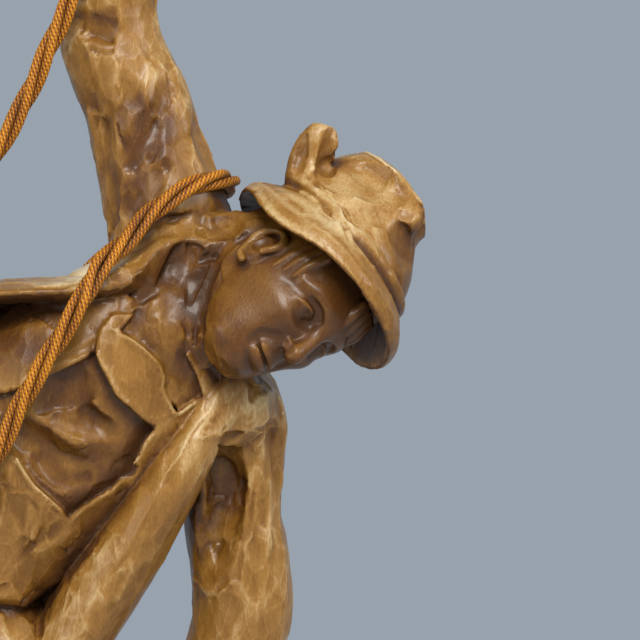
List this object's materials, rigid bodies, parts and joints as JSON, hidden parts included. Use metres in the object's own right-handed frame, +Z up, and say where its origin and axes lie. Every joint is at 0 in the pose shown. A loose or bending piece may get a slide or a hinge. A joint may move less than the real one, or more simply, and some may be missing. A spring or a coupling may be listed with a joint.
{
  "type": "carved wooden figure",
  "caption": "Carved and waxed wooden statuette of a mountaineer on a low rock, leaning over as he lets himself down on a real twisted rope held in his raised hand.",
  "frame": {"origin": "middle of the rock's flat underside", "axes": "+Z up, the height of the statuette; the chest faces -Y, and +X is the side that the figure leans to, his left"},
  "size_m": [0.2365, 0.1202, 0.4336],
  "materials": {
    "carved_wood": "stained and waxed close-grained carving wood, semi-gloss, paler on upward facets and dark in the cuts",
    "rope": "golden-brown braided cord with a soft sheen, three strands twisted together"
  },
  "bodies": {
    "root": {"carved_figure": "carved_wood", "climbing_rope": "rope"}
  },
  "joints": []
}
